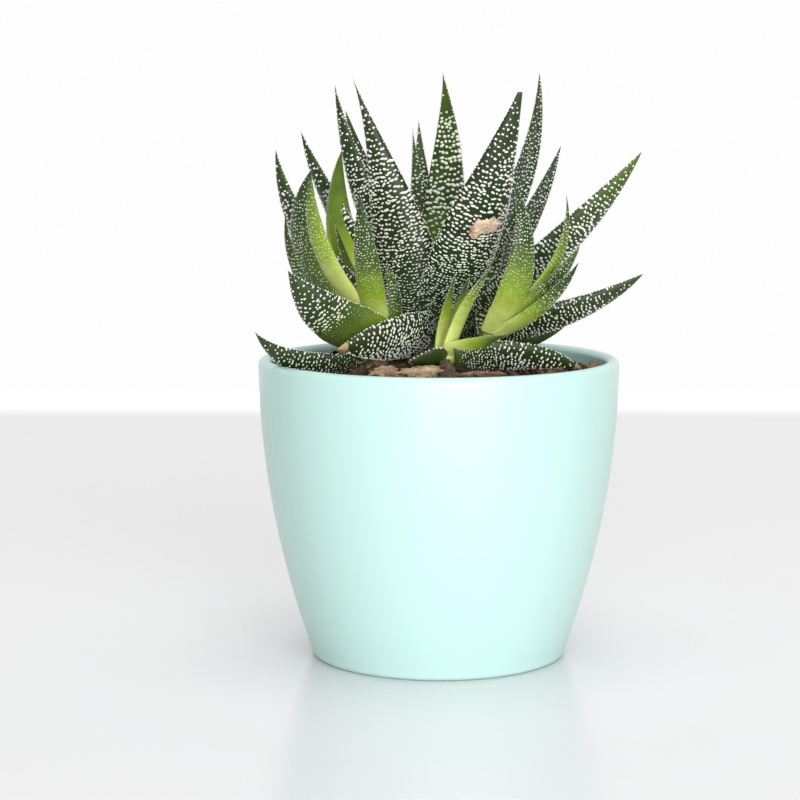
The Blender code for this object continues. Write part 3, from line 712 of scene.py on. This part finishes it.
# way along, theta, half length along, half width and height of every dot on a leaf, on both faces and both
# margins; some dots are drawn out across the leaf
def leafDots(leaf, random):
    places = []
    kind, bare = "bright" if leaf["young"] else "dark", bareBases.get(leaf["key"], 0.0)
    for outer in (True, False):
        style = dotStyles[kind + ("Outer" if outer else "Inner")]
        arc = pearlForm["outerArc"] if outer else pearlForm["innerArc"]
        s, share, wide, tall = dotPlaces(leaf, style, arc, random)
        if leaf["key"] in plainLeaves or (not outer and leaf["key"] in plainInside):
            s, share, wide, tall = s[:0], share[:0], wide[:0], tall[:0]
        count = len(s)
        size = (0.72 + 0.50 * random.random(count)) * np.clip((s - bare) / 0.06, 0.25, 1)
        size = size * dotScales.get(leaf["key"], 1.0)
        often = (0.10 if leaf["young"] else 0.30) * np.interp(s, [0, 0.6, 0.85], [1, 1, 0.2])
        stretch = np.where(random.random(count) < often, pearlForm["overlong"], 1.0)
        places.append((s, evenTheta(share, outer), size * tall, size * wide * stretch,
                       size * np.minimum(tall, wide) * 0.8))
    pitch, bead, start = (marginBeads[kind][key] for key in ("pitch", "size", "start"))
    along = np.arange(start, 0.972, pitch / leaf["length"])
    for margin in (0.0, math.pi):
        s = along + 0.12 * pitch / leaf["length"] * random.normal(size=along.shape)
        size = bead * (0.8 + 0.4 * random.random(along.shape))
        places.append((s.clip(0, 0.975), margin + 0.08 * random.normal(size=along.shape), size, size, size))
    return [np.concatenate(column) for column in zip(*places)]


# points of every dot: the dot's shape, a little uneven and skewed, stood on the blade along its normal
def dotBodies(line, leaf, shape, dots, random):
    s, theta, short, wide, high = dots
    here = bladePoint(line, leaf, s, theta)
    up = bladePoint(line, leaf, s + 0.004, theta) - here
    sideways = bladePoint(line, leaf, s, theta + 0.02) - here
    up /= np.linalg.norm(up, axis=1)[:, None]
    normal = np.cross(sideways, up)
    normal /= np.linalg.norm(normal, axis=1)[:, None]
    sideways = np.cross(up, normal)
    local = shape[None] * np.stack([wide, short, high], 1)[:, None] * mm
    local[..., 0] *= 1 + pearlForm["uneven"] * random.normal(size=local.shape[:2])
    skew = pearlForm["skew"] * random.normal(size=(len(s), 1))
    local[..., 0], local[..., 1] = (local[..., 0] * np.cos(skew) - local[..., 1] * np.sin(skew),
                                    local[..., 0] * np.sin(skew) + local[..., 1] * np.cos(skew))
    return (here[:, None] + local[..., :1] * sideways[:, None] + local[..., 1:2] * up[:, None]
            + local[..., 2:] * normal[:, None])


leafUvForm = {"from": 0.01, "to": 0.90, "low": 0.01, "high": 0.98, "ends": (0.002, 0.998),
              "strip": 0.95, "dotFrom": 0.02, "dotTo": 0.96, "dotSize": 0.008}


# uv of a leaf: the blade as a grid with its end fans, the dots in a strip beside it, each at its own height
def leafUv(along, shape, dotQuads, dotTris, dotS):
    around, form = leafForm["around"], leafUvForm
    v = form["low"] + form["high"] * along
    step = (form["to"] - form["from"]) / around
    left = form["from"] + (form["to"] - form["from"]) * np.arange(around) / around

    def fan(tip, row, first, second):
        return np.stack([np.stack([left + step / 2, np.full(around, tip)], -1),
                         np.stack([left + first * step, np.full(around, row)], -1),
                         np.stack([left + second * step, np.full(around, row)], -1)], 1)
    fans = np.concatenate([fan(form["ends"][0], v[0], 1, 0), fan(form["ends"][1], v[-1], 0, 1)])
    spot = shape[:, :2] * form["dotSize"] * (1 - 0.6 * np.clip(shape[:, 2:], 0, 1)) * (4.0, 1.0)
    middles = np.stack([np.full(len(dotS), form["strip"]), form["dotFrom"] + form["dotTo"] * dotS], 1)
    dotUv = middles[:, None] + spot
    grid = tubeUv(len(along), around, form["from"], form["to"], v)
    return np.concatenate([grid.reshape(-1, 2), dotUv[:, dotQuads].reshape(-1, 2), fans.reshape(-1, 2),
                           dotUv[:, dotTris].reshape(-1, 2)])


# the blade as a grid of stations, closer together towards the tip, by places round the section; then its dots
def makeLeaf(group, name, number):
    random = np.random.default_rng(100 + number)
    rosette, leaf = rosettes[group], leafValues(group, name, number)
    line = midline(rosette, leaf)
    stations, around = leafForm["stations"], leafForm["around"]
    along = (1 - (1 - np.linspace(0, 1, stations)) ** leafForm["crowding"]) * leafForm["lastStation"]
    s, theta = np.meshgrid(along, np.linspace(0, 2 * math.pi, around, endpoint=False), indexing="ij")
    blade = bladePoint(line, leaf, s, theta).reshape(-1, 3)
    ends = bladePoint(line, leaf, np.array([0.0, 1.0]), np.full(2, math.pi / 2))
    if leaf["left"] < 1:
        ends[1] = blade[-around:].mean(0)     # a broken tip closes flat
    quads, tris = tubeQuads(stations, around), endFans(stations, around)
    shape, dotQuads, dotTris = pearlShape()
    dots = leafDots(leaf, random)
    count, each, start = len(dots[0]), len(shape), len(blade) + 2
    points = np.vstack([blade, ends, dotBodies(line, leaf, shape, dots, random).reshape(-1, 3)])
    everyQuad = np.concatenate([quads, repeatFaces(dotQuads, count, each, start)])
    everyTri = np.concatenate([tris, repeatFaces(dotTris, count, each, start)])
    slots = np.concatenate([np.zeros(len(quads)), np.ones(count * len(dotQuads)),
                            np.zeros(len(tris)), np.ones(count * len(dotTris))])
    pointS = np.concatenate([s.ravel(), [0.0, 1.0], np.repeat(dots[0], each)])
    pointTheta = np.concatenate([theta.ravel(), np.full(2, math.pi / 2), np.repeat(dots[1], each)])
    piece = makePiece(group + "_" + name, points, everyQuad, everyTri, [skins["leaf"], skins["pearl"]], slots,
                      leafTone(leaf, pointS, pointTheta), leafUv(along, shape, dotQuads, dotTris, dots[0]))
    node = group + "_leaf_" + name
    place(piece, node)
    return count


# tone: the leaf's own brightness, paler towards the base by the 0.75th power of the way and, on dark leaves,
# at the tip, darker towards the tip on bright ones; only the last part of a dry tip turns tan, and the outer
# face browns more than the inner one
def leafTone(leaf, s, theta):
    bright, reach, dryness = leaf["bright"], leaf["reach"], leaf["dryness"]
    fresh = bright > 0.3
    pale = np.clip(1 - s / max(reach, 0.01), 0, 1) ** 0.75
    top = 1.0 if bright > 0.25 else 0.72 if reach > 0.3 else 0.30
    inner = np.maximum(np.sin(theta), 0)
    tip = (0.0 if fresh else paleTips.get(leaf["key"], 0.08)) * np.clip((s - 0.55) / 0.45, 0, 1)
    darker = (0.20 if fresh else 0.0) * np.clip((s - 0.4) / 0.6, 0, 1)
    tone = bright + (top - bright) * pale + 0.04 * inner + tip - darker
    dry = np.clip(1.6 * dryness, 0, 1) * np.clip((s - (0.985 - 0.10 * dryness)) / 0.03, 0, 1)
    warm = leaf["brown"] * (0.55 + 0.45 * np.clip((s - 0.2) / 0.5, 0, 1)) * (1 - 0.6 * inner)
    return {"tone": tone.clip(0, 1), "dry": dry, "warm": warm}


leafLook = {"tones": [(0.0, (0.011, 0.024, 0.008)), (0.2, (0.028, 0.056, 0.012)),
                      (0.45, (0.085, 0.140, 0.020)), (0.72, (0.24, 0.345, 0.026)), (1.0, (0.66, 0.70, 0.24))],
            "warm": (0.045, 0.038, 0.017), "dry": (0.42, 0.27, 0.14), "roughness": (0.30, 0.54),
            "finish": {"Specular IOR Level": 0.28, "Subsurface Weight": 0.06,
                       "Subsurface Radius": (0.8, 1.0, 0.3), "Subsurface Scale": 0.0012}}
pearlLook = {"low": (0.66, 0.70, 0.58), "high": (0.92, 0.94, 0.86), "green": (0.56, 0.68, 0.20),
             "tan": (0.50, 0.36, 0.22), "roughness": (0.42, 0.66)}


# the skin: "tone" runs from dark green to cream, "warm" browns it and "dry" marks a withered tip
def leafSkin():
    material, tree, shader = newMaterial("leafSkin", 0.4, leafLook["finish"])
    cloud = noise(tree, 230.0, 3.0)
    fine = noise(tree, 1100.0, 2.0, shift=3.0)
    shift = stretchTo(tree, cloud, -0.10, 0.10)
    drift = stretchTo(tree, fine, -0.06, 0.06)
    tone = maths(tree, "ADD", maths(tree, "ADD", attribute(tree, "tone"), shift), drift, True)
    warm = maths(tree, "MULTIPLY", attribute(tree, "warm"), stretchTo(tree, cloud, 0.4, 1.5), True)
    browned = mixColour(tree, warm, ramp(tree, tone, leafLook["tones"]), leafLook["warm"])
    dry = ramp(tree, maths(tree, "ADD", attribute(tree, "dry"), shift), [(0.35, 0.0), (0.75, 1.0)])
    finishSkin(tree, shader, mixColour(tree, dry, browned, leafLook["dry"]), cloud, leafLook["roughness"],
               fine, 0.3, 0.0002)
    return material


# the raised dots: chalky white, greener where the leaf under them is bright, tan on a withered tip
def pearlSkin():
    material, tree, shader = newMaterial("pearlSkin", 0.5)
    cloud = noise(tree, 1400.0, 2.0)
    white = mixColour(tree, cloud, pearlLook["low"], pearlLook["high"])
    greener = ramp(tree, attribute(tree, "tone"), [(0.2, 0.0), (0.40, 0.40), (1.0, 0.80)])
    tint = mixColour(tree, greener, white, pearlLook["green"])
    browner = ramp(tree, attribute(tree, "dry"), [(0.3, 0.0), (0.8, 0.8)])
    finishSkin(tree, shader, mixColour(tree, browner, tint, pearlLook["tan"]), cloud, pearlLook["roughness"],
               noise(tree, 5000.0, 1.0), 0.2, 0.0001)
    return material


stemForm = {"collar": {"left_pup": 0.5, "right_pup": 0.5, "front_pup": 1.15}, "collarAt": 1.2, "around": 32,
            "lowRows": 14, "highRows": 22, "sunk": 6 * mm, "tipGap": 0.3 * mm,
            "scarPitch": 1.7 * mm, "scarDepth": 0.05, "fluteDepth": 0.04, "flutes": 5}
skins = {"leaf": leafSkin(), "pearl": pearlSkin(),
         "stem": roughSkin("oldStem", (0.045, 0.040, 0.020), (0.16, 0.13, 0.07), 500.0, (1, 1, 0.3), 0.0003)}


# stem: a tapering stub that leans from its foot to its head, with spiral scars; the leaves' clasping bases
# swell it above its seat by a bell curve as wide as its radius
def makeStem(group, rosette):
    x, y = onSoil(rosette["head"])
    foot = onSoil(rosette["foot"])
    ground, seat, radius = soilTop(x, y), rosette["seat"] * mm, rosette["stemRadius"] * mm
    low, top = ground - stemForm["sunk"], ground + rosette["stemHeight"] * mm
    height = np.concatenate([np.linspace(low, ground + seat, stemForm["lowRows"]),
                             np.linspace(ground + seat, top - stemForm["tipGap"], stemForm["highRows"])[1:]])
    off = (height - ground - seat - stemForm["collarAt"] * radius) / radius
    collar = 1 + stemForm["collar"].get(group, 0) * np.exp(-off ** 2)
    girth = stemFace(rosette, (height - ground) / mm) * mm * collar

    def lean(points):
        lift = np.clip((points[:, 2] - low) / (stemForm["sunk"] + seat), 0, 1)[:, None]
        angle = np.arctan2(points[:, 1], points[:, 0])
        climb = points[:, 2] * 2 * math.pi / stemForm["scarPitch"]
        scars = 1 + stemForm["scarDepth"] * np.sin(climb + 2 * angle)
        scars = scars + stemForm["fluteDepth"] * np.sin(stemForm["flutes"] * angle)
        points[:, :2] = points[:, :2] * scars[:, None] + foot + (np.array([x, y]) - foot) * lift
        return points

    skin = skins["stem" if group == "main" else "leaf"]
    stem = turnedPiece(group + "_crown_stem", girth, height, stemForm["around"], skin, lean)
    z = np.array([vertex.co.z for vertex in stem.data.vertices])
    pale = np.clip((z - ground) / (0.6 * (top - ground)), 0, 1)
    paintPoints(stem.data, {"tone": 0.25 + 0.75 * pale, "dry": 0.55 * (1 - pale), "warm": 0.8 * (1 - pale)})
    place(stem, group + "_stem")


leafCount = dotCount = 0
for group, rosette in rosettes.items():
    makeStem(group, rosette)
    for name in rosette["leaves"]:
        dotCount += makeLeaf(group, name, leafCount)
        leafCount += 1
print("plant made:", leafCount, "leaves with", dotCount, "dots")


# chips: where they lie (shares of the soil's radius), length, width, thickness (mm), turn (degrees)
barkChips = {
    "01": (-0.12, -0.66, 11.0, 4.5, 2.6, 18), "02": (0.08, -0.76, 8.0, 4.5, 2.6, -20),
    "03": (0.27, -0.70, 8.0, 4.0, 2.4, 8), "04": (-0.33, -0.62, 7.0, 4.0, 2.6, 40),
    "05": (0.86, -0.38, 5.5, 3.4, 2.4, 60), "06": (-0.20, 0.84, 9.0, 4.2, 2.2, 12),
    "07": (-0.55, 0.66, 7.0, 4.0, 2.2, 35), "08": (0.62, 0.60, 8.0, 3.6, 2.2, -50),
}
chipForm = {"rows": 30, "around": 44, "torn": 0.18, "clear": 0.6}
barkStretch = (0.35, 1, 1)
barkSkins = [roughSkin("barkRed", (0.075, 0.040, 0.024), (0.27, 0.155, 0.095), 420.0, barkStretch, 0.0006),
             roughSkin("barkTan", (0.20, 0.125, 0.072), (0.58, 0.41, 0.26), 420.0, barkStretch, 0.0005),
             roughSkin("barkBrown", (0.045, 0.030, 0.020), (0.19, 0.125, 0.080), 420.0, barkStretch, 0.0006)]


# a torn slab: rings along its length of squared-off ovals; sine waves break the outline, drive splinters of
# uneven length out of the ends and raise ridges that run along the flat sides
def slab(size, random, rows, around, torn):
    theta = np.linspace(0, 2 * math.pi, around, endpoint=False)
    u, a = np.meshgrid(np.linspace(-1, 1, rows), theta, indexing="ij")
    squared = (np.abs(np.cos(a)) ** 4 + np.abs(np.sin(a)) ** 4) ** (-1 / 4)
    phase = random.random(8) * 6.28
    across = squared * np.cos(a)
    hand = np.sign(across)
    edge = 1 + torn * (np.sin(5 * u + phase[0] + 1.5 * hand) + 0.7 * np.sin(11 * u + phase[1] - 2 * hand)
                       + 0.5 * np.sin(23 * u + phase[5]))
    girth = np.clip(1 - np.abs(u) ** 5, 0.02, 1) ** 0.6 * edge
    splinter = (0.16 * np.sin(4 * across + phase[4]) + 0.12 * np.sin(11 * across + phase[6])
                + 0.07 * np.sin(23 * across + phase[7]))
    ridges = (0.16 * np.sin(7 * across + phase[2]) + 0.12 * np.sin(15 * across + 2 * u + phase[3])
              + 0.08 * np.sin(31 * across + 5 * u))
    x = size[0] / 2 * (u + splinter * np.abs(u) ** 3)
    y = size[1] / 2 * girth * across
    z = size[2] / 2 * (girth ** 0.4 * squared * np.sin(a) * (0.8 + ridges * np.sign(np.sin(a))))
    points = np.stack([x, y, z], -1).reshape(-1, 3)
    return (np.vstack([points, rowMiddles(points, around)]), tubeQuads(rows, around)[:, ::-1],
            endFans(rows, around)[:, ::-1])


# a chip lies on the soil's slope, which falls by twice the mound's height times the share of the way out
def makeChip(number, chip):
    random = np.random.default_rng(500 + int(number))
    x, y, length, width, depth, turn = chip
    size = (length * mm, width * mm, depth * mm)
    points, quads, tris = slab(size, random, chipForm["rows"], chipForm["around"], chipForm["torn"])
    reach, out = soilReach(), math.hypot(x, y)
    up = np.array([0, 0, 1.0]) + np.array([x, y, 0]) / out * (2 * soilForm["mound"] * out / reach)
    up /= np.linalg.norm(up)
    first = np.array([math.cos(math.radians(turn)), math.sin(math.radians(turn)), 0])
    first -= up * first.dot(up)
    first /= np.linalg.norm(first)
    ground = np.array([x * reach, y * reach, soilTop(x * reach, y * reach)])
    turned = np.stack([first, np.cross(up, first), up])
    points = ground + up * (depth / 2 + chipForm["clear"]) * mm + points @ turned
    piece = makePiece("bark_" + number, points, quads, tris, [barkSkins[int(number) % 3]], smooth=False)
    place(piece, "bark_chip_" + number)


for number, chip in barkChips.items():
    makeChip(number, chip)

flakeForm = {"leaf": ("main", "front_right_tall"), "along": 0.47, "across": 0.03, "size": (7.4, 4.4, 0.8),
             "gap": 0.3, "turn": 24, "curl": 0.9, "rows": 40, "around": 48, "torn": 0.14, "outerDepth": 0.84}


# the flake lies on a leaf's outer face: a thin slab whose ends curl up and whose sides curl down as squares
def makeFlake():
    group, name = flakeForm["leaf"]
    leaf = leafValues(group, name)
    centre, across, inward, forward = midline(rosettes[group], leaf)
    row, leafWidth = round(flakeForm["along"] * leafForm["steps"]), leaf["width"] * mm
    half = float(halfWidth(flakeForm["along"], leafWidth, leaf))
    thickness = leafForm["thickness"] * leafWidth * (2 * half / leafWidth) ** leafForm["thinning"]
    length, width, thick = (value * mm for value in flakeForm["size"])
    points, quads, tris = slab((length, width, thick), np.random.default_rng(77), flakeForm["rows"],
                               flakeForm["around"], flakeForm["torn"])
    ends, sides = (points[:, 0] / length * 2) ** 2 * 0.6, 0.35 * (points[:, 1] / width * 2) ** 2
    points[:, 2] += flakeForm["curl"] * mm * (ends - sides)
    off = thickness * flakeForm["outerDepth"] + flakeForm["gap"] * mm + thick / 2
    middle = centre[row] + across[row] * half * flakeForm["across"] - inward[row] * off
    turn = math.radians(flakeForm["turn"])
    first = across[row] * math.cos(turn) + forward[row] * math.sin(turn)
    second = across[row] * math.sin(turn) - forward[row] * math.cos(turn)
    turned = np.stack([first, second, -inward[row]])       # left-handed, so the faces are turned round too
    husk = roughSkin("dryHusk", (0.50, 0.32, 0.19), (0.86, 0.70, 0.53), 380.0, (1, 1, 1), 0.0004)
    flake = makePiece("dry_husk", middle + points @ turned, quads[:, ::-1], tris[:, ::-1], [husk])
    place(flake, "dry_flake")


makeFlake()
print("bark and flake made")


stageForm = {"width": 3.2, "front": -1.8, "back": 0.525, "fadeFrom": 0.425, "fadeTo": 0.52, "wallAt": 0.85,
             "wallLow": -0.3, "wallHigh": 1.6, "wallGlow": 0.985, "roomGlow": 0.38,
             "table": ((0.745, 0.74, 0.75), (0.775, 0.77, 0.78))}
softboxes = {
    "frontSoftbox": {"spot": (0.20, -1.1, 0.26), "target": (0, 0, 0.05), "size": (1.1, 0.7), "power": 15.5},
    "topSoftbox": {"spot": (0.1, -0.1, 1.3), "target": (0, 0, 0.07), "size": (1.0, 1.0), "power": 7.0},
}
cameraForm = {"spot": (-9.67 * mm, -567 * mm, 138.1 * mm), "pitchDown": 7.43, "lens": 102.7, "sensor": 36.0}


# a flat sheet for the stage, its corners in order round it
def makeSheet(name, corners, material):
    makePiece(name, np.array(corners, float), [[0, 1, 2, 3]], [], [material])


# the pale table fades into the wall's white over its last stretch
def makeTable():
    w, front, back = stageForm["width"] / 2, stageForm["front"], stageForm["back"]
    material, tree, shader = newMaterial("paleTable", 0.2)
    coordinates = addNode(tree, "ShaderNodeTexCoord")
    parts = addNode(tree, "ShaderNodeSeparateXYZ")
    tree.links.new(coordinates.outputs["Object"], parts.inputs["Vector"])
    fade = addNode(tree, "ShaderNodeMapRange", interpolation_type="SMOOTHSTEP")
    fade.inputs["From Min"].default_value = stageForm["fadeFrom"]
    fade.inputs["From Max"].default_value = stageForm["fadeTo"]
    tree.links.new(parts.outputs["Y"], fade.inputs["Value"])
    tone = mixColour(tree, noise(tree, 8.0), *stageForm["table"])
    colour = mixColour(tree, fade.outputs["Result"], tone, (0.0, 0.0, 0.0))
    tree.links.new(colour, shader.inputs["Base Color"])
    tree.links.new(fade.outputs["Result"], shader.inputs["Emission Strength"])
    shader.inputs["Emission Color"].default_value = (stageForm["wallGlow"],) * 3 + (1,)
    bump(tree, shader, noise(tree, 60.0), 0.02, 0.001)
    makeSheet("table_top", [(-w, front, 0), (w, front, 0), (w, back, 0), (-w, back, 0)], material)


def makeWall():
    w, at = stageForm["width"] / 2, stageForm["wallAt"]
    low, high = stageForm["wallLow"], stageForm["wallHigh"]
    material, _, _ = newMaterial("whiteWall", 0.9, {"Base Color": (0, 0, 0, 1), "Specular IOR Level": 0.0,
                                                    "Emission Color": (1, 1, 1, 1),
                                                    "Emission Strength": stageForm["wallGlow"]})
    makeSheet("back_wall", [(-w, at, low), (w, at, low), (w, at, high), (-w, at, high)], material)


def addLight(name, box):
    data = bpy.data.lights.new(name, "AREA")
    data.shape, data.size, data.size_y = "RECTANGLE", box["size"][0], box["size"][1]
    data.energy = box["power"]
    light = bpy.data.objects.new(name, data)
    light.location = box["spot"]
    aim = np.array(box["target"]) - np.array(box["spot"])
    pitch, yaw = math.atan2(math.hypot(aim[0], aim[1]), -aim[2]), math.atan2(aim[1], aim[0]) - math.pi / 2
    light.rotation_euler = (pitch, 0, yaw)
    bpy.context.scene.collection.objects.link(light)


def makeRoom():
    world = bpy.data.worlds.new("paleRoom")
    world.use_nodes = True
    world.node_tree.nodes["Background"].inputs["Color"].default_value = (1, 1, 1, 1)
    world.node_tree.nodes["Background"].inputs["Strength"].default_value = stageForm["roomGlow"]
    bpy.context.scene.world = world
    bpy.context.scene.view_settings.view_transform = "Standard"
    for name, box in softboxes.items():
        addLight(name, box)


def makeCamera():
    data = bpy.data.cameras.new("view")
    data.lens, data.sensor_width = cameraForm["lens"], cameraForm["sensor"]
    data.clip_start, data.clip_end = 0.01, 20.0
    camera = bpy.data.objects.new("view", data)
    camera.location = cameraForm["spot"]
    camera.rotation_euler = (math.radians(90 - cameraForm["pitchDown"]), 0, 0)
    bpy.context.scene.collection.objects.link(camera)
    bpy.context.scene.camera = camera


makeTable()
makeWall()
makeRoom()
makeCamera()
print("stage and camera made")
